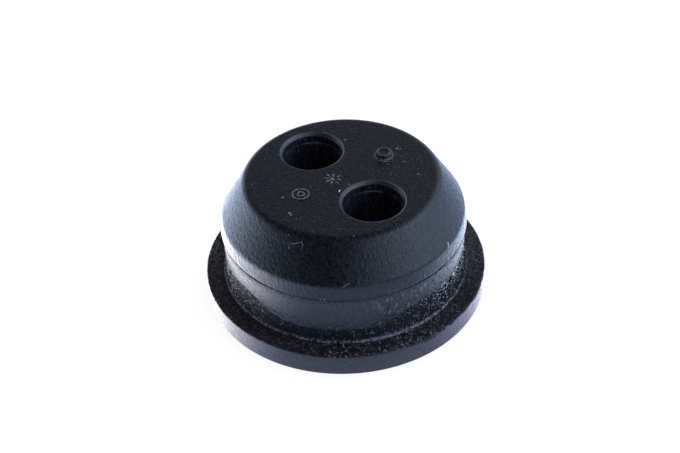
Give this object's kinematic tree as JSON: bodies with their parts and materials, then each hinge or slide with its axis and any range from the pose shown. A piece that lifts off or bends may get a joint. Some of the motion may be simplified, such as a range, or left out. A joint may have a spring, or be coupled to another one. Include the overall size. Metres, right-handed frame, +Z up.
{
  "type": "rubber grommet",
  "caption": "Rubber plug grommet with a wide flange, a hollow neck for the hole in a wall, a tapered push-in head and hose bores side by side.",
  "frame": {"origin": "centre of the flange's flat face", "axes": "+Z up the axis of the plug from the flange to the head, +X from one hose bore to the other, +Y towards the gate stub"},
  "size_m": [0.024, 0.024, 0.0116],
  "materials": {
    "black_rubber": "satin"
  },
  "bodies": {
    "root": {"grommet": "black_rubber"}
  },
  "joints": []
}
